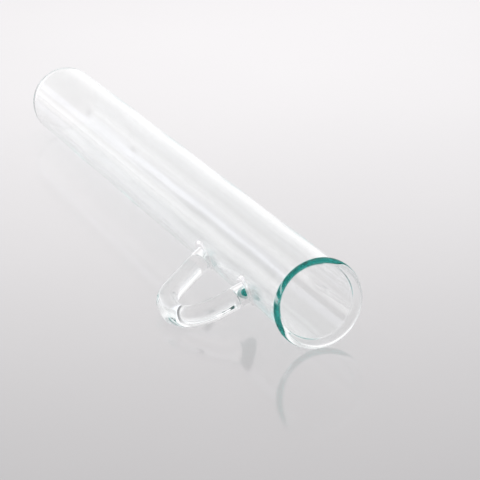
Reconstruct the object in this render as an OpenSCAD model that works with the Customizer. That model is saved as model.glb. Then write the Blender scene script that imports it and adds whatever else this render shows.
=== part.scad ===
// Glass test tube with a finger loop.
// It is drawn upright, standing on its round bottom with the tube axis on Z and the loop towards +X,
// and every piece is then laid on its side, mouth towards +X, where the rim, the round bottom and
// the loop all touch the table at Z = 0.

/* [Tube] */
// Outside diameter of the tubing
tube_od = 20; // [16:0.5:24]
// Thickness of the tubing wall
wall = 1; // [0.8:0.1:1.6]
// Length from the round bottom to the mouth
overall_length = 200; // [150:5:250]

/* [Mouth] */
// How far the flared lip stands out past the tubing, all round
lip_overhang = 1; // [0.8:0.1:2]
// Thickness of the lip's rounded edge
lip_d = 1.5; // [1.4:0.1:1.8]
// How far the wall turns outwards to reach the lip, in degrees
flare_turn = 45; // [30:1:55]

/* [Handle] */
// Diameter of the handle rod
rod_d = 5.3; // [4:0.1:6]
// Distance from the mouth to the middle of the front foot
front_foot = 23; // [20:1:40]
// Lean of the front leg towards the mouth, in degrees
front_lean = 8; // [0:1:12]
// Length of the front leg, from the tube to its bend
front_leg = 6.5; // [6:0.5:14]
// Centreline radius of the front bend
front_bend = 8.5; // [6:0.5:10]
// Centreline radius of the crown, where the finger pulls
crown_bend = 25; // [20:1:35]
// How far the crown turns, in degrees
crown_turn = 15; // [10:1:20]
// Centreline radius of the rear bend
rear_bend = 9; // [5:0.5:12]
// Slope of the rear leg against the tube, in degrees
rear_slope = 53; // [42:1:60]

/* [Welds] */
// How far each weld runs up the rod
weld_height = 3; // [2.5:0.1:4]
// How far each weld spreads past the rod
weld_spread = 1.2; // [1:0.1:2]

/* [Hidden] */
$fn = 96;

// Tube and mouth
tube_r = tube_od / 2;
bore_r = tube_r - wall;
mid_wall_r = tube_r - wall / 2;
rim_r = tube_r + lip_overhang;
lip_r = lip_d / 2;
lip_ring_r = rim_r - lip_r;
lip_z = overall_length - lip_r;
// Radius of the flare's bend, along the middle of the wall
flare_bend = (lip_ring_r - mid_wall_r) / (1 - cos(flare_turn));
wall_top = lip_z - flare_bend * sin(flare_turn);
flare_steps = 12;
// How far a cutting shape runs past the faces it cuts
cut_past = 1;

// Handle: its centreline as rings, [back, out, heading], in the plane of the tube axis. "Back" is
// the distance from the front foot towards the round bottom, and "out" the distance from the axis.
// A heading of 90 degrees runs straight out, 0 straight back and -90 straight in.
rod_sides = 28;
ring_turn = 6;
function run_on(ring, distance) = [
    ring[0] + distance * cos(ring[2]),
    ring[1] + distance * sin(ring[2]),
    ring[2]
];
function turned(ring, radius, turn) = [
    ring[0] + radius * (sin(ring[2]) - sin(ring[2] - turn)),
    ring[1] + radius * (cos(ring[2] - turn) - cos(ring[2])),
    ring[2] - turn
];
function bend_rings(ring, radius, turn) =
    let (steps = ceil(turn / ring_turn))
        [for (i = [1:steps]) turned(ring, radius, turn * i / steps)];
function ring_point(ring, angle) = [
    ring[1] + rod_d / 2 * cos(angle) * cos(ring[2]),
    rod_d / 2 * sin(angle),
    rod_d / 2 * cos(angle) * sin(ring[2]) - ring[0]
];
front_turn = 90 + front_lean;
rear_turn = rear_slope - crown_turn;
front_start = [0, tube_r, front_turn];
front_leg_end = run_on(front_start, front_leg);
crown_start = turned(front_leg_end, front_bend, front_turn);
crown_end = turned(crown_start, crown_bend, crown_turn);
rear_leg_start = turned(crown_end, rear_bend, rear_turn);
rear_leg = (rear_leg_start[1] - tube_r) / sin(rear_slope);
rear_foot = front_foot + run_on(rear_leg_start, rear_leg)[0];
loop_rings = concat(
    [run_on(front_start, weld_height), front_leg_end],
    bend_rings(front_leg_end, front_bend, front_turn),
    bend_rings(crown_start, crown_bend, crown_turn),
    bend_rings(crown_end, rear_bend, rear_turn),
    [run_on(rear_leg_start, rear_leg - weld_height)]
);

// Welds
weld_sink = 4;
weld_r = rod_d / 2 + weld_spread;

// Lying on the table: the axis tips down towards the round bottom, because the rim is wider, and
// the tube rolls until the crown of the handle comes down on the table.
tilt = asin((rim_r - tube_r) / (lip_z - tube_r));
crown_z = overall_length - front_foot - crown_start[0];
crown_out = crown_start[1];
crown_axis_height = tube_r + (crown_z - tube_r) * sin(tilt);
handle_drop = asin((crown_axis_height - rod_d / 2) / crown_out);
// The middle of the lying shape's footprint is put at the origin.
lying_length = tube_r + (overall_length - tube_r) * cos(tilt);
lying_y = (crown_out * cos(handle_drop) + rod_d / 2 - rim_r) / 2;

module lay_down() {
    translate([tube_r - lying_length / 2, lying_y, tube_r])
        rotate([0, 90 - tilt, 0])
            rotate([0, 0, handle_drop - 90])
                translate([0, 0, -tube_r])
                    children();
}

// Rises smoothly from 0 to 1 as t does, level at both ends
function ease(t) = (1 - cos(180 * t)) / 2;

// The flared wall's section: it bends outwards, and thickens into the lip. A point on it is on the
// outside where side is 1 and on the inside where side is -1, and t runs from 0 to 1 at the lip.
function flare_point(side, t) =
    let (turn = flare_turn * t, half = side * (wall / 2 + (lip_r - wall / 2) * ease(t)))
        [
            mid_wall_r + flare_bend * (1 - cos(turn)) + half * cos(turn),
            wall_top + flare_bend * sin(turn) - half * sin(turn)
        ];
flare_outside = [for (i = [0:flare_steps]) flare_point(1, i / flare_steps)];
flare_inside = [for (i = [flare_steps:-1:0]) flare_point(-1, i / flare_steps)];

module tube_wall() {
    color([0.85, 0.94, 0.93, 0.35])
        lay_down()
            translate([0, 0, tube_r])
                difference() {
                    cylinder(h = wall_top - tube_r, r = tube_r);
                    translate([0, 0, -cut_past])
                        cylinder(h = wall_top - tube_r + 2 * cut_past, r = bore_r);
                }
}

module round_bottom() {
    color([0.85, 0.94, 0.93, 0.35])
        lay_down()
            translate([0, 0, tube_r])
                difference() {
                    sphere(r = tube_r);
                    sphere(r = bore_r);
                    cylinder(h = tube_od, r = tube_od);
                }
}

module mouth_rim() {
    color([0.2, 0.58, 0.53, 0.6])
        lay_down()
            rotate_extrude()
                union() {
                    polygon(concat(flare_outside, flare_inside));
                    translate([lip_ring_r, lip_z])
                        circle(r = lip_r);
                }
}

// Stands children on the tube wall at a foot of the handle, leaning towards the mouth.
module at_foot(from_mouth, lean) {
    translate([tube_r, 0, overall_length - from_mouth])
        rotate([0, 90 - lean, 0])
            children();
}

// A rod of round section swept along the rings, with flat ends.
module swept_rod(rings) {
    count = len(rings);
    points = [
        for (ring = rings)
            for (side = [0:rod_sides - 1])
                ring_point(ring, 360 * side / rod_sides)
    ];
    skin = [
        for (i = [0:count - 2])
            for (side = [0:rod_sides - 1])
                let (next = (side + 1) % rod_sides)
                    [
                        i * rod_sides + side,
                        i * rod_sides + next,
                        (i + 1) * rod_sides + next,
                        (i + 1) * rod_sides + side
                    ]
    ];
    start_cap = [for (side = [rod_sides - 1:-1:0]) side];
    end_cap = [for (side = [0:rod_sides - 1]) (count - 1) * rod_sides + side];
    polyhedron(points, concat([start_cap], skin, [end_cap]));
}

module handle_loop() {
    color([0.88, 0.94, 0.93, 0.35])
        lay_down()
            translate([0, 0, overall_length - front_foot])
                swept_rod(loop_rings);
}

// A fused foot: the rod's end, spread into a fillet and cut to sit on the tube wall.
module weld(from_mouth, lean) {
    color([0.6, 0.82, 0.8, 0.45])
        lay_down()
            difference() {
                at_foot(from_mouth, lean)
                    translate([0, 0, -weld_sink])
                        rotate_extrude()
                            difference() {
                                square([weld_r, weld_sink + weld_height]);
                                translate([weld_r, weld_sink + weld_height])
                                    circle(r = weld_spread);
                            }
                cylinder(h = overall_length, r = tube_r);
            }
}

module front_weld() {
    weld(front_foot, front_lean);
}

module rear_weld() {
    weld(rear_foot, 90 - rear_slope);
}

tube_wall();
round_bottom();
mouth_rim();
handle_loop();
front_weld();
rear_weld();
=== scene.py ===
import math

import bpy
import numpy as np
from mathutils import Matrix, Vector


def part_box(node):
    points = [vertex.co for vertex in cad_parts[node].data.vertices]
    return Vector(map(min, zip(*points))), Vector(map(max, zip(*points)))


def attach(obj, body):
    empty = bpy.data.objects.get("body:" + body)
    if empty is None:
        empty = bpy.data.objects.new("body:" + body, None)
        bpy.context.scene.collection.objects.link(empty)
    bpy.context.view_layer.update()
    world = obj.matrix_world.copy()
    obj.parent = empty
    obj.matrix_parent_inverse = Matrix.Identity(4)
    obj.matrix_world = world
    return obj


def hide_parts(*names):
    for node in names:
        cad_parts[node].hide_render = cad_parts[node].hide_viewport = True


# The looks of a glass test tube with a finger loop, lying on a pale glossy table.
# Each piece is first shaped upright, in the blank's frame: the tube axis on Z, the round bottom's
# tip at 0 and the loop towards +X. It is then warped a little, as a flame leaves glass, and laid
# down as the CAD frame lies. Glass runs on from piece to piece through thin clear seams.

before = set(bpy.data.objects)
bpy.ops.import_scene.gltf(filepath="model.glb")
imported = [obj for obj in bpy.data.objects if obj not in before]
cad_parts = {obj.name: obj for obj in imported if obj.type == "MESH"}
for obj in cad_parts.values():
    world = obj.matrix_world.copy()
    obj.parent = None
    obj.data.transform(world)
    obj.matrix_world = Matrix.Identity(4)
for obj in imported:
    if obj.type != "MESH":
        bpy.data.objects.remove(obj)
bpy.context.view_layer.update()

# ---------------------------------------------------------------- sizes, in metres
MM = 0.001
tube_od = 20 * MM
wall = 1 * MM
overall_length = 200 * MM
lip_overhang = 1 * MM
lip_d = 1.5 * MM
flare_turn = math.radians(45)
rod_d = 5.3 * MM
front_foot = 23 * MM
front_lean = math.radians(8)
front_leg = 6.5 * MM
front_bend = 8.5 * MM
crown_bend = 25 * MM
crown_turn = math.radians(15)
rear_bend = 9 * MM
rear_slope = math.radians(53)
weld_height = 3 * MM
weld_spread = 1.2 * MM

tube_r = tube_od / 2
bore_r = tube_r - wall
rim_r = tube_r + lip_overhang
lip_r = lip_d / 2
lip_z = overall_length - lip_r
mid_wall_r = tube_r - wall / 2
lip_ring_r = rim_r - lip_r
flare_bend = (lip_ring_r - mid_wall_r) / (1 - math.cos(flare_turn))
wall_top = lip_z - flare_bend * math.sin(flare_turn)
rod_r = rod_d / 2

# Half the gap at a seam, where two pieces of glass meet
SEAM = 1e-6
# Facets round the tube and the rod
AROUND = 192
ROD_AROUND = 96
# The patch of wall round each foot: half its width in facets, and its length in steps
PATCH_HALF = 24
PATCH_ROWS = 32
PATCH_STEP = 0.5 * MM


# ---------------------------------------------------------------- the loop's centreline
def run_on(ring, distance):
    """The ring (back, out, heading) that lies this far straight on."""
    back, out, heading = ring
    return (back + distance * math.cos(heading), out + distance * math.sin(heading), heading)


def turned(ring, radius, turn):
    """The ring at the end of a bend inwards."""
    back, out, heading = ring
    return (
        back + radius * (math.sin(heading) - math.sin(heading - turn)),
        out + radius * (math.cos(heading - turn) - math.cos(heading)),
        heading - turn,
    )


def straight_rings(ring, distance, step=1 * MM):
    count = max(1, round(distance / step))
    return [run_on(ring, distance * i / count) for i in range(1, count + 1)]


def bend_rings(ring, radius, turn, step=math.radians(2)):
    count = max(1, round(turn / step))
    return [turned(ring, radius, turn * i / count) for i in range(1, count + 1)]


front_turn = math.pi / 2 + front_lean
front_start = (0.0, tube_r, front_turn)
front_leg_end = run_on(front_start, front_leg)
crown_start = turned(front_leg_end, front_bend, front_turn)
crown_end = turned(crown_start, crown_bend, crown_turn)
rear_leg_start = turned(crown_end, rear_bend, rear_slope - crown_turn)
rear_leg = (rear_leg_start[1] - tube_r) / math.sin(rear_slope)
front_z = overall_length - front_foot
rear_z = front_z - run_on(rear_leg_start, rear_leg)[0]
rear_lean = math.pi / 2 - rear_slope

# ---------------------------------------------------------------- how the glass lies on the table
tilt = math.asin((rim_r - tube_r) / (lip_z - tube_r))
crown_height = tube_r + (front_z - crown_start[0] - tube_r) * math.sin(tilt)
handle_drop = math.asin((crown_height - rod_r) / crown_start[1])
lying_length = tube_r + (overall_length - tube_r) * math.cos(tilt)
lying_y = (crown_start[1] * math.cos(handle_drop) + rod_r - rim_r) / 2
LAY_DOWN = (
    Matrix.Translation((tube_r - lying_length / 2, lying_y, tube_r))
    @ Matrix.Rotation(math.pi / 2 - tilt, 4, "Y")
    @ Matrix.Rotation(handle_drop - math.pi / 2, 4, "Z")
    @ Matrix.Translation((0, 0, -tube_r))
)


# How far a piece's box may be from its CAD node's. The feet have a toe and stand in a dent, and the
# CAD's rear foot is cut short where the rod closes on the wall, where this one runs on into a web.
PIECE_SLACK = 0.5 * MM
FOOT_SLACK = {"front_weld": 0.8 * MM, "rear_weld": 1.5 * MM}


def check_against_frame(node, low, high):
    """Stops the script if a visual piece isn't where its CAD node is."""
    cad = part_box(node)
    off = max(abs(a - b) for a, b in zip([*low, *high], [*cad[0], *cad[1]]))
    if off > FOOT_SLACK.get(node, PIECE_SLACK):
        raise ValueError(f"{node} is {off / MM:.2f} mm off its CAD node: sizes here and in CAD differ")


# ---------------------------------------------------------------- what the flame leaves
# How far the wall sinks under each foot, and how wide the dent is
DENT = 0.26 * MM
DENT_WIDTH = 7 * MM
# How much thicker the wall gets there, towards the bore
THICKENING = 0.16 * MM
# The dent is longer along the tube than round it, by this much
DENT_STRETCH = 1.2
# The heat's ripple round each dent, its wavelength, and how wide it spreads
RIPPLE = 0.02 * MM
RIPPLE_LENGTH = 16 * MM
RIPPLE_WIDTH = 15.4 * MM
# Slow waves along drawn tubing, and the stretch past the round bottom where they grow
DRAW = 0.012 * MM
DRAW_LENGTH = 43 * MM
DRAW_START = 20 * MM
# The warp dies away towards the ends of the tube's wall
BOTTOM_EASE = 6 * MM
MOUTH_EASE = 5 * MM
# It also dies away between these distances from the tube's axis
WARP_FROM = tube_r + 0.6 * MM
WARP_TO = tube_r + 2.6 * MM


def smooth(t):
    """From 0 where t is 0 to 1 where it is 1, level at both ends and beyond them."""
    t = np.clip(t, 0, 1)
    return t * t * (3 - 2 * t)


def bell(distance, width):
    """A normal curve: 1 at no distance, and falling away over the width."""
    return np.exp(-((distance / width) ** 2) / 2)


def warped(points):
    """Points of the blank, moved in or out from the tube's axis as heat and drawing leave them."""
    x, y, z = points[:, 0], points[:, 1], points[:, 2]
    r = np.maximum(np.hypot(x, y), 1e-9)
    angle = np.arctan2(y, x)
    bore_side = smooth((tube_r - r) / wall)
    move = np.zeros(len(points))
    for foot_z in (front_z, rear_z):
        away = np.hypot(angle * tube_r, (z - foot_z) / DENT_STRETCH)
        move -= (DENT + THICKENING * bore_side) * bell(away, DENT_WIDTH)
        move -= RIPPLE * bell(away, RIPPLE_WIDTH) * np.cos(2 * np.pi * away / RIPPLE_LENGTH)
    along = z - tube_r
    wave = 1 - np.cos(2 * np.pi * along / DRAW_LENGTH)
    move -= DRAW * wave * smooth(along / DRAW_START) * (1 + bore_side)
    ends = smooth(along / BOTTOM_EASE) * smooth((wall_top - z) / MOUTH_EASE)
    fade = 1 - smooth((r - WARP_FROM) / (WARP_TO - WARP_FROM))
    scale = 1 + move * ends * fade / r
    return np.column_stack([x * scale, y * scale, z])


def warped_normals(points, normals, step=1e-6):
    """The normals of a surface after the warp, by the warp's own slopes."""
    slopes = np.empty((len(points), 3, 3))
    for axis in range(3):
        shift = np.zeros(3)
        shift[axis] = step
        slopes[:, :, axis] = (warped(points + shift) - warped(points - shift)) / (2 * step)
    turned_normals = np.einsum("nji,nj->ni", np.linalg.inv(slopes), normals)
    return turned_normals / np.linalg.norm(turned_normals, axis=1)[:, None]


# ---------------------------------------------------------------- closed shells of glass
GLASS_SLOT, SEAM_SLOT = 0, 1


class Shell:
    """A closed piece, collected as points and as grids of faces that carry exact normals."""

    def __init__(self):
        self.points = np.zeros((0, 3))
        self.faces, self.normals, self.slots = [], [], []

    def add(self, points):
        """Adds points of any grid shape, and returns their numbers in the same shape."""
        flat = np.asarray(points, float).reshape(-1, 3)
        first = len(self.points)
        self.points = np.vstack([self.points, flat])
        return np.arange(first, first + len(flat)).reshape(np.shape(points)[:-1])

    def grid(self, index, normal, slot=GLASS_SLOT, skip=None):
        """Faces between neighbouring closed rows of index, wound to face along normal."""
        index, normal = np.asarray(index), np.asarray(normal, float)
        rows, cols = index.shape
        for i in range(rows - 1):
            for j in range(cols):
                if skip is not None and skip(i, j):
                    continue
                corners = [(i, j), (i, (j + 1) % cols), (i + 1, (j + 1) % cols), (i + 1, j)]
                self.face([index[c] for c in corners], [normal[c] for c in corners], slot)

    def face(self, numbers, normals, slot):
        """One face: a quad, or a triangle where two of its corners are the same point."""
        kept = [k for k in range(len(numbers)) if numbers[k] != numbers[k - 1]]
        if len(kept) < 3:
            return
        a, b, c = (self.points[numbers[k]] for k in kept[:3])
        last = self.points[numbers[kept[-1]]]
        flat = np.cross(b - a, c - a) + np.cross(c - a, last - a)
        if flat @ sum(normals[k] for k in kept) < 0:
            kept.reverse()
        self.faces.append([int(numbers[k]) for k in kept])
        self.normals.extend(normals[k] for k in kept)
        self.slots.append(slot)

    def piece(self, name, node, materials, slot):
        """Warps and lays down the shell, and makes it a piece that stands for a CAD node."""
        corner_points = self.points[[n for f in self.faces for n in f]]
        normals = warped_normals(corner_points, np.array(self.normals))
        turn = np.array(LAY_DOWN.to_3x3())
        points = warped(self.points) @ turn.T + np.array(LAY_DOWN.translation)
        check_against_frame(node, points.min(0), points.max(0))
        mesh = bpy.data.meshes.new(name)
        mesh.from_pydata(points.tolist(), [], self.faces)
        for material in materials:
            mesh.materials.append(material)
        mesh.polygons.foreach_set("material_index", self.slots)
        mesh.polygons.foreach_set("use_smooth", [True] * len(self.faces))
        mesh.update()
        mesh.normals_split_custom_set((normals @ turn.T).tolist())
        piece = bpy.data.objects.new(name, mesh)
        bpy.context.scene.collection.objects.link(piece)
        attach(piece, "root")
        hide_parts(node)
        return piece


def circle(count=AROUND):
    """Angles round a circle, one for each facet."""
    return np.arange(count) * 2 * np.pi / count


def spun(radii, heights):
    """A section turned about Z: a row of points, or of directions, for each pair of its values."""
    angle = circle()
    radii, heights = np.broadcast_arrays(radii, heights)
    across, height = radii[:, None], np.repeat(heights[:, None], AROUND, axis=1)
    return np.stack([across * np.cos(angle), across * np.sin(angle), height], axis=-1)


def revolved(shell, radii, heights, normal_r, normal_z, index=None):
    """A surface of revolution about Z, from a section and its normals."""
    made = shell.add(spun(radii, heights)) if index is None else index
    shell.grid(made, spun(normal_r, normal_z))
    return made


def seam_ring(shell, inner, outer, up):
    """The flat seam between two closed rows of points."""
    normals = np.broadcast_to((0.0, 0.0, up), (2, len(inner), 3))
    shell.grid(np.array([inner, outer]), normals, SEAM_SLOT)


def wall_normals(points):
    """Directions straight out from the tube's axis at points on its outer face."""
    return points * (1, 1, 0) / tube_r


# ---------------------------------------------------------------- the feet
# The collar of each foot: the fillet at its toe, its height above the wall, the groove where the rod
# stands in it, the groove's gap to the rod, and the height that all of this needs
TOE = 0.35 * MM
COLLAR = 0.65 * MM
GROOVE = 0.12 * MM
GROOVE_GAP = 0.1 * MM
COLLAR_ROOM = 1.4 * MM
# Share of its spread that a foot loses under a rod lying flat on the wall
SPREAD_LOSS = 0.5
# The most of the room under the rod that a thinned collar takes
ROOM_SHARE = 0.92
# How far out the collar's top begins and bends, as shares of the foot's spread
SHOULDER, TOP_BEND = 0.5, 0.2
# The strips of a foot's section from the wall up, each with its number of rows
FOOT_STRIPS = ((5, "toe"), (7, "side"), (7, "top"), (5, "groove"), (6, "rod"))
# Rings of points from a foot's footprint out to the edge of its patch, and in to its middle
PATCH_RINGS = 10
DISC_RINGS = 8
# Share of a footprint, from its middle, that is fused to the wall
FUSED_SHARE = 0.4


def bezier(a, b, c, t):
    """A curve from a to c that heads for b at both ends."""
    return a * (1 - t) ** 2 + 2 * b * t * (1 - t) + c * t * t


class Foot:
    """Where the rod stands on the wall: positions run round it by angle, and up it by strip."""

    def __init__(self, z, lean):
        self.centre = np.array([tube_r, 0, z])
        self.axis = np.array([math.cos(lean), 0, math.sin(lean)])
        self.up = np.array([-math.sin(lean), 0, math.cos(lean)])
        self.side = np.array([0.0, 1.0, 0.0])
        self.lean = lean

    def wall_height(self, angle, radius):
        """How far up the rod's axis the tube's wall lies, at a radius from that axis."""
        across = np.sqrt(tube_r**2 - (radius * np.sin(angle)) ** 2)
        return (across - tube_r + radius * np.cos(angle) * math.sin(self.lean)) / math.cos(self.lean)

    def point(self, angle, radius, above):
        """The point at an angle and radius round the rod, this far up from the wall."""
        angle, radius, above = np.broadcast_arrays(angle, radius, above)
        height = self.wall_height(angle, radius) + above
        spoke = np.cos(angle)[..., None] * self.up + np.sin(angle)[..., None] * self.side
        return self.centre + height[..., None] * self.axis + radius[..., None] * spoke

    def spread(self, angle):
        """How far the foot spreads past the rod: less where the rod closes on the wall."""
        return weld_spread * (1 - SPREAD_LOSS * math.sin(self.lean) * (1 + np.cos(angle)) / 2)

    def strip(self, kind, angle, t):
        """A point on one strip of the foot's section, from its lower edge at 0 to its upper at 1."""
        room = weld_height - self.wall_height(angle, rod_r)
        # Where the rod closes on the wall there is little room, and the collar thins to fit.
        fit = ROOM_SHARE * room / (room**4 + COLLAR_ROOM**4) ** 0.25
        spread = self.spread(angle)
        pad = rod_r + spread
        mid = rod_r + SHOULDER * spread
        crease = rod_r + GROOVE_GAP
        toe, collar = TOE * fit, COLLAR * fit
        groove = (COLLAR - GROOVE) * fit
        shank = COLLAR_ROOM * fit
        if kind == "toe":
            radius, above = bezier(pad + TOE, pad, pad, t), bezier(0, 0, toe, t)
        elif kind == "side":
            radius, above = bezier(pad, pad, mid, t), bezier(toe, collar, collar, t)
        elif kind == "top":
            radius = bezier(mid, rod_r + TOP_BEND * spread, crease, t)
            above = bezier(collar, collar, groove, t)
        elif kind == "groove":
            radius, above = bezier(crease, rod_r, rod_r, t), bezier(groove, groove, shank, t)
        else:
            radius, above = rod_r, shank + (room - shank) * t
        return self.point(angle, radius, above)

    def strip_normal(self, kind, angle, t, step=1e-4):
        """Which way a strip faces, by its own slopes."""
        low, high = np.maximum(t - step, 0), np.minimum(t + step, 1)
        rise = self.strip(kind, angle, high) - self.strip(kind, angle, low)
        round_ = self.strip(kind, angle + step, t) - self.strip(kind, angle - step, t)
        normal = np.cross(round_, rise)
        return normal / np.linalg.norm(normal, axis=-1)[..., None]

    def footprint(self, angle, share=1.0, above=0.0):
        """The outline where the toe meets the wall, or a smaller copy of it."""
        return self.point(angle, share * (rod_r + self.spread(angle) + TOE), above)

    def disc(self, shell, rim, angle, out, above):
        """The wall inside the footprint, whose rim's points are there already. The rod's core is
        fused to it, and the collar round that only touches."""
        rows = [rim]
        for k in range(1, DISC_RINGS):
            rows.append(shell.add(self.footprint(angle, 1 - k / DISC_RINGS, above)))
        middle = shell.add(self.footprint(angle[:1], 0.0, above))
        rows.append(np.repeat(middle, len(angle)))
        index = np.array(rows)
        normals = wall_normals(shell.points[index])
        core = DISC_RINGS - round(FUSED_SHARE * DISC_RINGS)
        shell.grid(index[:core + 1], out * normals[:core + 1])
        shell.grid(index[core:], out * normals[core:], SEAM_SLOT)


FEET = {"front": Foot(front_z, front_lean), "rear": Foot(rear_z, rear_lean)}


# ---------------------------------------------------------------- the tube's wall
# Rows of points away from the feet: the step between them, their least number, and the rows from
# the front foot to the mouth
ROW_STEP = 3 * MM
LEAST_ROWS = 10
MOUTH_ROWS = 14
# How the rings round a foot crowd towards it
RING_CROWDING = 1.3


def wall_rows():
    """Heights of the rows of points up the tube, with each foot's patch at an even step."""
    half = PATCH_ROWS * PATCH_STEP / 2
    start = tube_r + SEAM
    rows, marks = [start], {}
    for name, foot in sorted(FEET.items(), key=lambda pair: pair[1].centre[2]):
        low = foot.centre[2] - half
        gap = low - rows[-1]
        count = max(LEAST_ROWS, round(gap / ROW_STEP))
        rows += [rows[-1] + gap * i / count for i in range(1, count + 1)]
        marks[name] = len(rows) - 1
        rows += [low + PATCH_STEP * i for i in range(1, PATCH_ROWS + 1)]
    gap = wall_top - SEAM - rows[-1]
    rows += [rows[-1] + gap * i / MOUTH_ROWS for i in range(1, MOUTH_ROWS + 1)]
    return np.array(rows), marks


def patch_border(first_row):
    """The (row, column) pairs round a foot's patch, starting at the middle of its upper edge."""
    top, low = first_row + PATCH_ROWS, first_row
    border = [(top, c) for c in range(PATCH_HALF)]
    border += [(r, PATCH_HALF) for r in range(top, low, -1)]
    border += [(low, c) for c in range(PATCH_HALF, -PATCH_HALF, -1)]
    border += [(r, -PATCH_HALF) for r in range(low, top)]
    border += [(top, c) for c in range(-PATCH_HALF, 0)]
    return border


def patch_angles(foot, border, rows):
    """The angle round the foot that each border point faces."""
    step = 2 * math.pi / AROUND
    across = np.array([c * step * tube_r for _, c in border])
    along = np.array([rows[r] - foot.centre[2] for r, _ in border])
    return np.arctan2(across, along * math.cos(foot.lean))


def make_tube_wall(materials):
    shell = Shell()
    rows, marks = wall_rows()
    level = np.zeros(len(rows))
    outer = shell.add(spun(tube_r, rows))

    def in_patch(i, j):
        """Whether this face of the outer grid is left out for a foot's patch."""
        beside = j < PATCH_HALF or j >= AROUND - PATCH_HALF
        return beside and any(first <= i < first + PATCH_ROWS for first in marks.values())

    shell.grid(outer, spun(1.0, level), skip=in_patch)
    for name, foot in FEET.items():
        border = patch_border(marks[name])
        angles = patch_angles(foot, border, rows)
        edge = foot.footprint(angles)
        edge_flat = np.column_stack([np.arctan2(edge[:, 1], edge[:, 0]), edge[:, 2]])
        border_flat = np.array([(c * 2 * math.pi / AROUND, rows[r]) for r, c in border])
        rings = [shell.add(edge)]
        for k in range(1, PATCH_RINGS):
            share = (k / PATCH_RINGS) ** RING_CROWDING
            flat = edge_flat + (border_flat - edge_flat) * share
            rings.append(shell.add(np.column_stack(
                [tube_r * np.cos(flat[:, 0]), tube_r * np.sin(flat[:, 0]), flat[:, 1]])))
        rings.append(np.array([outer[r, c % AROUND] for r, c in border]))
        index = np.array(rings)
        shell.grid(index, wall_normals(shell.points[index]))
        foot.disc(shell, rings[0], angles, 1, 0.0)
    inner = revolved(shell, bore_r, rows, -1.0, level)
    seam_ring(shell, inner[0], outer[0], -1)
    seam_ring(shell, inner[-1], outer[-1], 1)
    return shell.piece("tube_wall_glass", "tube_wall", materials, "clear_glass")


# ---------------------------------------------------------------- round bottom and rim
# How much thicker the glass is at the round bottom's tip
TIP_EXTRA = 0.35 * MM
BOTTOM_ROWS = 40


def make_round_bottom(materials):
    shell = Shell()
    polar = np.linspace(0, math.pi / 2, BOTTOM_ROWS)
    start = tube_r - SEAM
    outer_r, outer_z = tube_r * np.sin(polar), start - tube_r * np.cos(polar)
    inside = bore_r - TIP_EXTRA * np.cos(polar) ** 2
    slope = 2 * TIP_EXTRA * np.cos(polar) * np.sin(polar)
    inner_r, inner_z = inside * np.sin(polar), start - inside * np.cos(polar)
    dr = slope * np.sin(polar) + inside * np.cos(polar)
    dz = -slope * np.cos(polar) + inside * np.sin(polar)
    size = np.hypot(dr, dz)

    def pole_rows(radii, heights):
        """The rows of a surface that closes at a pole, which is one point."""
        pole = shell.add(np.array([[0.0, 0.0, heights[0]]]))
        return np.vstack([np.repeat(pole, AROUND)[None], shell.add(spun(radii[1:], heights[1:]))])

    outer = revolved(shell, outer_r, outer_z, np.sin(polar), -np.cos(polar),
                     index=pole_rows(outer_r, outer_z))
    inner = revolved(shell, inner_r, inner_z, -dz / size, dr / size,
                     index=pole_rows(inner_r, inner_z))
    seam_ring(shell, inner[-1], outer[-1], 1)
    return shell.piece("round_bottom_glass", "round_bottom", materials, "clear_glass")


# Rows of points up each side of the flare, and round the lip's bead
FLARE_ROWS = 22
BEAD_ROWS = 26


def flare_rows(side):
    """Radii, heights and normals up the flare, on its outside (side 1) or its inside (side -1)."""
    t = np.linspace(0, 1, FLARE_ROWS)
    turn = flare_turn * t
    thicker = lip_r - wall / 2
    half = side * (wall / 2 + thicker * (1 - np.cos(np.pi * t)) / 2)
    half_slope = side * thicker * np.pi * np.sin(np.pi * t) / 2
    radii = mid_wall_r + flare_bend * (1 - np.cos(turn)) + half * np.cos(turn)
    heights = wall_top + flare_bend * np.sin(turn) - half * np.sin(turn) + SEAM * (1 - t)
    dr = flare_turn * np.sin(turn) * (flare_bend - half) + half_slope * np.cos(turn)
    dz = flare_turn * np.cos(turn) * (flare_bend - half) - half_slope * np.sin(turn)
    size = np.hypot(dr, dz)
    return radii, heights, side * dz / size, -side * dr / size


def make_rim(materials):
    shell = Shell()
    bead = np.linspace(-flare_turn, np.pi - flare_turn, BEAD_ROWS)[1:-1]
    out, up = np.cos(bead), np.sin(bead)
    lip = (lip_ring_r + lip_r * out, lip_z + lip_r * up, out, up)
    outside, inside = flare_rows(1), flare_rows(-1)
    section = [np.concatenate([a, b, c[::-1]]) for a, b, c in zip(outside, lip, inside)]
    index = revolved(shell, *section)
    seam_ring(shell, index[-1], index[0], -1)
    return shell.piece("mouth_rim_glass", "mouth_rim", materials, "rim_glass")


# ---------------------------------------------------------------- the loop and its welds
def make_weld(name, node, materials):
    foot = FEET[name]
    shell = Shell()
    rows, marks = wall_rows()
    angle = patch_angles(foot, patch_border(marks[name]), rows)
    edge = None
    for count, kind in FOOT_STRIPS:
        t, spread = np.broadcast_arrays(np.linspace(0, 1, count + 1)[:, None], angle)
        points = foot.strip(kind, spread, t)
        if edge is None:
            points[0] = foot.footprint(angle, above=2 * SEAM)
            index = shell.add(points)
            base = index[0]
        else:
            index = np.vstack([edge[None], shell.add(points[1:])])
        shell.grid(index, foot.strip_normal(kind, spread, t))
        edge = index[-1]
    foot.disc(shell, base, angle, -1, 2 * SEAM)
    centre = shell.add((foot.centre + weld_height * foot.axis)[None])
    cap = np.array([edge, np.repeat(centre, len(angle))])
    shell.grid(cap, np.broadcast_to(foot.axis, (2, len(angle), 3)), SEAM_SLOT)
    return shell.piece(node + "_glass", node, materials, "weld_glass")


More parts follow.
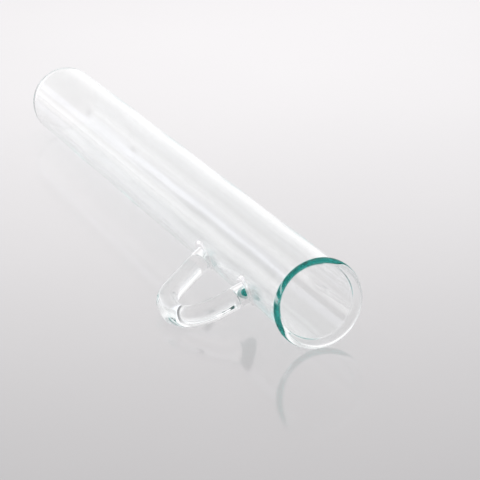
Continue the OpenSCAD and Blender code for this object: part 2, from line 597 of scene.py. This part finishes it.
def make_handle(materials):
    shell = Shell()
    start = run_on(front_start, weld_height + 2 * SEAM)
    rings = [start, *straight_rings(start, front_leg - weld_height - 2 * SEAM)]
    rings += bend_rings(front_leg_end, front_bend, front_turn)
    rings += bend_rings(crown_start, crown_bend, crown_turn, math.radians(1))
    rings += bend_rings(crown_end, rear_bend, rear_slope - crown_turn)
    rings += straight_rings(rear_leg_start, rear_leg - weld_height - 2 * SEAM)
    back, out, heading = (np.array(values)[:, None] for values in zip(*rings))
    angle = circle(ROD_AROUND)
    side = np.repeat(np.sin(angle)[None], len(rings), axis=0)
    normals = np.stack(
        [np.cos(angle) * np.cos(heading), side, np.cos(angle) * np.sin(heading)], axis=-1)
    middles = np.stack([out, np.zeros_like(out), front_z - back], axis=-1)
    index = shell.add(middles + rod_r * normals)
    shell.grid(index, normals)
    for row, sign in ((0, -1), (-1, 1)):
        h = float(heading[row, 0])
        along = sign * np.array([math.sin(h), 0, -math.cos(h)])
        centre = shell.add(middles[row])
        cap = np.array([index[row], np.repeat(centre, ROD_AROUND)])
        shell.grid(cap, np.broadcast_to(along, (2, ROD_AROUND, 3)), SEAM_SLOT)
    return shell.piece("handle_loop_glass", "handle_loop", materials, "rod_glass")


# ---------------------------------------------------------------- materials
def add(tree, kind, inputs=None, **settings):
    """Adds a node, sets its properties, and fills or links its inputs."""
    made = tree.nodes.new(kind)
    for name, value in settings.items():
        setattr(made, name, value)
    for name, value in (inputs or {}).items():
        if isinstance(value, bpy.types.NodeSocket):
            tree.links.new(value, made.inputs[name])
        else:
            made.inputs[name].default_value = value
    return made


def maths(tree, operation, a, b=0.0):
    """The result of one sum, of numbers or of other nodes' results."""
    return add(tree, "ShaderNodeMath", {0: a, 1: b}, operation=operation).outputs[0]


def new_material(name):
    """A material with an empty node tree."""
    material = bpy.data.materials.new(name)
    material.use_nodes = True
    material.node_tree.nodes.clear()
    return material, material.node_tree


# What a metre of glass takes off red, green and blue: next to nothing through the tube's wall, and
# a deep teal along the whole tube. The rod is a clearer glass, and the welds take off more.
TUBE_ABSORPTION = (8.6, 2.1, 2.4)
ROD_ABSORPTION = (2.4, 1.1, 1.0)
WELD_ABSORPTION = (140, 88, 92)
GLASS_IOR = 1.474
# No ray inside the tube is longer than this
LONGEST_RAY = 1.2 * overall_length
# What lamps lose at each face
LAMP_TINT = (0.992, 0.996, 0.996, 1)


def glass_material(name, absorption, cord_height, cord_scale, cord_stretch=(1.0, 1.0, 1.0)):
    """Clear borosilicate. Light is tinted by how far it went inside the glass, and cords, the faint
    streaks that drawing leaves, run along the piece."""
    material, tree = new_material(name)
    path = add(tree, "ShaderNodeLightPath").outputs
    geometry = add(tree, "ShaderNodeNewGeometry").outputs
    possible = maths(tree, "LESS_THAN", path["Ray Length"], LONGEST_RAY)
    inside = maths(tree, "MULTIPLY", geometry["Backfacing"], possible)
    length = maths(tree, "MULTIPLY", path["Ray Length"], inside)
    left = [maths(tree, "POWER", math.e, maths(tree, "MULTIPLY", length, -loss)) for loss in absorption]
    tint = add(tree, "ShaderNodeCombineColor", dict(zip(("Red", "Green", "Blue"), left))).outputs[0]

    place = add(tree, "ShaderNodeTexCoord").outputs["Object"]
    stretched = add(tree, "ShaderNodeMapping", {"Vector": place, "Scale": cord_stretch}).outputs[0]
    cords = add(tree, "ShaderNodeTexNoise", {"Vector": stretched, "Scale": cord_scale, "Detail": 3.0})
    height = maths(tree, "MULTIPLY", cords.outputs[0], cord_height)
    bump = add(tree, "ShaderNodeBump", {"Height": height, "Strength": 1.0, "Distance": 1.0})
    glass = add(tree, "ShaderNodeBsdfGlass",
                {"Color": tint, "Roughness": 0.0, "IOR": GLASS_IOR, "Normal": bump.outputs[0]})
    lamp = add(tree, "ShaderNodeBsdfTransparent", {"Color": LAMP_TINT})
    lighting = maths(tree, "MAXIMUM", path["Is Shadow Ray"], path["Is Diffuse Ray"])
    both = add(tree, "ShaderNodeMixShader", {0: lighting, 1: glass.outputs[0], 2: lamp.outputs[0]})
    add(tree, "ShaderNodeOutputMaterial", {"Surface": both.outputs[0]})
    return material


def seam_material():
    """The unseen face where two fused pieces meet: light goes straight on."""
    material, tree = new_material("fused_seam")
    clear = add(tree, "ShaderNodeBsdfTransparent", {"Color": (1, 1, 1, 1)})
    add(tree, "ShaderNodeOutputMaterial", {"Surface": clear.outputs[0]})
    return material


# The table's tones and its least and most roughness, in clouds of this scale
TABLE_LOW = (0.252, 0.249, 0.251, 1)
TABLE_HIGH = (0.267, 0.263, 0.265, 1)
TABLE_SMOOTH, TABLE_ROUGH = 0.085, 0.115
TABLE_IOR = 1.5
CLOUD_SCALE = 9.0


def table_material():
    """A pale glossy sheet with faint clouds in its tone and polish."""
    material, tree = new_material("pale_table")
    place = add(tree, "ShaderNodeTexCoord").outputs["Object"]
    clouds = add(tree, "ShaderNodeTexNoise", {"Vector": place, "Scale": CLOUD_SCALE, "Detail": 4.0})
    cloud = clouds.outputs[0]
    rough = add(tree, "ShaderNodeMapRange", {0: cloud, 3: TABLE_SMOOTH, 4: TABLE_ROUGH}).outputs[0]
    tone = add(tree, "ShaderNodeMix", {0: cloud, 6: TABLE_LOW, 7: TABLE_HIGH}, data_type="RGBA")
    surface = add(tree, "ShaderNodeBsdfPrincipled",
                  {"Base Color": tone.outputs[2], "Roughness": rough, "IOR": TABLE_IOR})
    add(tree, "ShaderNodeOutputMaterial", {"Surface": surface.outputs[0]})
    return material


# ---------------------------------------------------------------- build the pieces
seam = seam_material()
# Cords' height, and how close together they lie. On the tube they run along X, so there the pattern
# is scaled for each axis instead.
tube_glass = glass_material("clear_glass", TUBE_ABSORPTION, 3e-6, 1.0, (4.0, 260.0, 260.0))
bottom_glass = glass_material("bottom_glass", ROD_ABSORPTION, 3e-6, 120.0)
rim_glass = glass_material("rim_glass", TUBE_ABSORPTION, 3e-6, 150.0)
rod_glass = glass_material("rod_glass", ROD_ABSORPTION, 8e-6, 170.0)
weld_glass = glass_material("weld_glass", WELD_ABSORPTION, 1.2e-5, 420.0)

make_tube_wall([tube_glass, seam])
make_round_bottom([bottom_glass, seam])
make_rim([rim_glass, seam])
make_handle([rod_glass, seam])
make_weld("front", "front_weld", [weld_glass, seam])
make_weld("rear", "rear_weld", [weld_glass, seam])

# ---------------------------------------------------------------- table
# Half its side, and how far its face lies under the glass, so that the two never share a plane
TABLE_HALF = 6.0
TABLE_DROP = 2e-5
table_mesh = bpy.data.meshes.new("table")
square = ((-1, -1), (1, -1), (1, 1), (-1, 1))
corners = [(x * TABLE_HALF, y * TABLE_HALF, -TABLE_DROP) for x, y in square]
table_mesh.from_pydata(corners, [], [(0, 1, 2, 3)])
table_mesh.materials.append(table_material())
table = bpy.data.objects.new("table", table_mesh)
bpy.context.scene.collection.objects.link(table)

# ---------------------------------------------------------------- camera
# It stands in front of the mouth, to the loop's side, and aims past the rim at the tube's middle.
rim_low, rim_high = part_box("mouth_rim")
mouth = (rim_low + rim_high) / 2
camera_distance = 594.99 * MM
camera_azimuth = -0.389617
camera_elevation = 0.359324
aim_yaw = -0.358802
aim_pitch = 0.334488
aim_roll = -0.033757
camera_lens = 195.03

camera_data = bpy.data.cameras.new("camera")
camera_data.lens = camera_lens
camera_data.sensor_width = 36
camera_data.clip_start = 0.01
camera = bpy.data.objects.new("camera", camera_data)
bpy.context.scene.collection.objects.link(camera)
bpy.context.scene.camera = camera


def direction(azimuth, elevation):
    """The unit vector that points this way."""
    return Vector((
        math.cos(elevation) * math.cos(azimuth),
        math.cos(elevation) * math.sin(azimuth),
        math.sin(elevation),
    ))


camera.location = mouth + camera_distance * direction(camera_azimuth, camera_elevation)
aim = -direction(aim_yaw, aim_pitch)
camera.rotation_euler = (
    aim.to_track_quat("-Z", "Y").to_matrix() @ Matrix.Rotation(aim_roll, 3, "Z")
).to_euler()

# ---------------------------------------------------------------- light
# The room is a light tent. Its backdrop, behind the tube's round bottom and on the loop's far side,
# glows low down, its ceiling is a little brighter than its walls, and its side towards the camera
# is open to a darker room. On the loop's side one wall holds a cool strip light that runs the way
# the tube lies, so the tube shows it as streaks, and the streaks bend where the tube's wall does. A
# dark seam of the cloth splits the strip, wider the nearer it comes.
BACKDROP_AZIMUTH = math.pi + camera_azimuth
ROOM_COLOUR = (1.0, 0.99, 0.995, 1)
STRIP_COLOUR = (0.80, 0.84, 1.0, 1)
# Brightness of the walls, and how much each feature adds or takes away
ROOM_LEVEL = 0.79
OPEN_LEVEL = 0.50
GLOW_LEVEL = 0.35
CEILING_LEVEL = 0.22
STRIP_LEVEL = 0.40
SEAM_LEVEL = 0.62
LOW_LEVEL = 0.36
# Angles round the tube's axis, from the table on the loop's far side, up and over. The strip shifts
# and spreads as it comes nearer.
STRIP_ANGLE, STRIP_SHIFT = math.radians(148), math.radians(-12)
STRIP_WIDTH, STRIP_SPREAD = math.radians(15), math.radians(17)
CLOTH_SEAM_ANGLE, CLOTH_SEAM_WIDTH = math.radians(151), math.radians(15)
LOW_START, LOW_END = math.radians(160), math.radians(176)

world = bpy.data.worlds.new("studio")
bpy.context.scene.world = world
world.use_nodes = True
sky = world.node_tree
sky.nodes.clear()
ray = add(sky, "ShaderNodeTexCoord").outputs["Generated"]
ray_parts = add(sky, "ShaderNodeSeparateXYZ", {0: ray}).outputs
towards = add(sky, "ShaderNodeVectorMath", {0: ray, 1: tuple(direction(BACKDROP_AZIMUTH, 0))},
              operation="DOT_PRODUCT").outputs["Value"]
round_axis = maths(sky, "ARCTAN2", ray_parts["Z"], ray_parts["Y"])


def rise(value, start, end):
    """From 0 where value is start to 1 where it is end, smoothly."""
    return add(sky, "ShaderNodeMapRange", {0: value, 1: start, 2: end},
               interpolation_type="SMOOTHSTEP").outputs[0]


def band(angle, width):
    """1 along a band at this angle round the tube's axis, and 0 beyond its width."""
    off = maths(sky, "ABSOLUTE", maths(sky, "SUBTRACT", round_axis, angle))
    return rise(off, width, maths(sky, "MULTIPLY", width, 0.3))


# Beyond the tube's round bottom, and how near the mouth the tube shows a ray, from 0 to 1
beside = rise(ray_parts["X"], -0.3, -0.7)
near = rise(ray_parts["X"], -0.93, -0.875)

glow = maths(sky, "MULTIPLY", rise(towards, 0.1, 1.0), rise(ray_parts["Z"], 0.46, 0.12))
open_side = rise(towards, -0.35, -0.8)
low_wall = maths(sky, "MULTIPLY", beside, rise(round_axis, LOW_START, LOW_END))
ceiling = rise(ray_parts["Z"], 0.5, 0.8)
seam_width = maths(sky, "MULTIPLY", near, CLOTH_SEAM_WIDTH)
cloth_seam = maths(sky, "MULTIPLY", near, band(CLOTH_SEAM_ANGLE, seam_width))
cloth_seam = maths(sky, "MULTIPLY", cloth_seam, beside)
room = ROOM_LEVEL
for level, place in ((GLOW_LEVEL, glow), (CEILING_LEVEL, ceiling), (-OPEN_LEVEL, open_side),
                     (LOW_LEVEL, low_wall), (-SEAM_LEVEL, cloth_seam)):
    room = maths(sky, "ADD", room, maths(sky, "MULTIPLY", place, level))

strip_angle = maths(sky, "ADD", STRIP_ANGLE, maths(sky, "MULTIPLY", near, STRIP_SHIFT))
strip_width = maths(sky, "ADD", STRIP_WIDTH, maths(sky, "MULTIPLY", near, STRIP_SPREAD))
strip = maths(sky, "MULTIPLY", beside, band(strip_angle, strip_width))
seam_loss = maths(sky, "MULTIPLY", cloth_seam, STRIP_LEVEL)
strip = maths(sky, "MULTIPLY", strip, maths(sky, "SUBTRACT", STRIP_LEVEL, seam_loss))
walls = add(sky, "ShaderNodeBackground", {"Color": ROOM_COLOUR, "Strength": room})
strip_light = add(sky, "ShaderNodeBackground", {"Color": STRIP_COLOUR, "Strength": strip})
tent = add(sky, "ShaderNodeAddShader", {0: walls.outputs[0], 1: strip_light.outputs[0]})
add(sky, "ShaderNodeOutputWorld", {"Surface": tent.outputs[0]})

# One soft box hangs over the tube's far end, so that the table fades towards the camera. It stands
# for the tent's own falloff, and doesn't show in the glass.
BOX_PLACE = (-0.155, 0.103, 0.41)
BOX_SIDE = 0.4
BOX_POWER = 5.8
box_data = bpy.data.lights.new("soft_box", "AREA")
box_data.shape = "SQUARE"
box_data.size = BOX_SIDE
box_data.energy = BOX_POWER
box_data.color = ROOM_COLOUR[:3]
soft_box = bpy.data.objects.new("soft_box", box_data)
soft_box.location = BOX_PLACE
soft_box.visible_glossy = False
soft_box.visible_transmission = False
bpy.context.scene.collection.objects.link(soft_box)

# ---------------------------------------------------------------- how light is followed
# Light runs down the wall between its two faces, and meets them dozens of times.
scene = bpy.context.scene
scene.cycles.max_bounces = 400
scene.cycles.glossy_bounces = 400
scene.cycles.transmission_bounces = 64
scene.cycles.transparent_max_bounces = 64
scene.cycles.min_light_bounces = 64
scene.cycles.caustics_reflective = False
scene.cycles.caustics_refractive = False
scene.view_settings.view_transform = "Standard"
